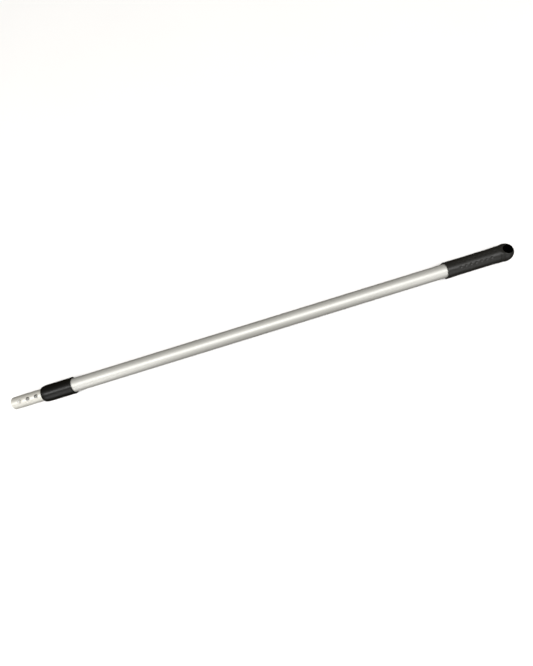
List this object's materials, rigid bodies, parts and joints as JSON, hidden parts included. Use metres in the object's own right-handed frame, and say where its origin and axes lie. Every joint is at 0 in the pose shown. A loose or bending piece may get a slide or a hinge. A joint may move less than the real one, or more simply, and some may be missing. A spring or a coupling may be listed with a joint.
{
  "type": "telescopic extension pole",
  "caption": "Two-section telescopic pole with a dimpled hand grip, a ball end with a hang hole, a collar, an internal twist lock and button holes in the tool tip.",
  "frame": {"origin": "centre of the hang hole, on the pole's axis", "axes": "+X along the pole towards the tool end, the way the inner tube extends; +Z along the button holes; the hang hole is turned 14 degrees about X from Z"},
  "size_m": [0.9287, 0.0322, 0.0304],
  "materials": {
    "outer_aluminium": "satin anodised",
    "inner_aluminium": "satin anodised",
    "grip_rubber": "matt with moulded dimples",
    "cap_plastic": "fine moulded grain",
    "collar_plastic": "smooth satin",
    "bush_nylon": "smooth nylon",
    "white_nylon": "moulded nylon",
    "cone_acetal": "moulded acetal",
    "ring_rubber": "smooth nitrile",
    "zinc_steel": "bright zinc plated"
  },
  "bodies": {
    "pole": {"outer_tube": "outer_aluminium", "grip_sleeve": "grip_rubber", "hanging_cap": "cap_plastic", "cap_pin": "zinc_steel", "collar": "collar_plastic", "guide_bush": "bush_nylon"},
    "expander": {"expander": "white_nylon", "friction_ring": "ring_rubber"},
    "cone": {"cone_nut": "cone_acetal"},
    "stage": {"inner_tube": "inner_aluminium", "rod_plug": "white_nylon", "plug_pins": "zinc_steel", "lock_rod": "zinc_steel", "thrust_washer": "zinc_steel", "nut_washers": "zinc_steel", "lock_nuts": "zinc_steel"}
  },
  "joints": [
    {"name": "extend", "type": "slide", "parent": "pole", "child": "expander", "axis": [1, 0, 0], "range_m": [0, 0.725]},
    {"name": "twist", "type": "hinge", "parent": "expander", "child": "stage", "pos_m": [0.5, 0, 0], "axis": [1, 0, 0], "range_deg": [0, 270]},
    {"name": "cone_travel", "type": "slide", "parent": "expander", "child": "cone", "axis": [-1, 0, 0], "range_m": [0, 0.0023]}
  ],
  "couplings": [
    {"joint": "cone_travel", "follows": "twist", "m_per_rad": 0.00047746}
  ]
}
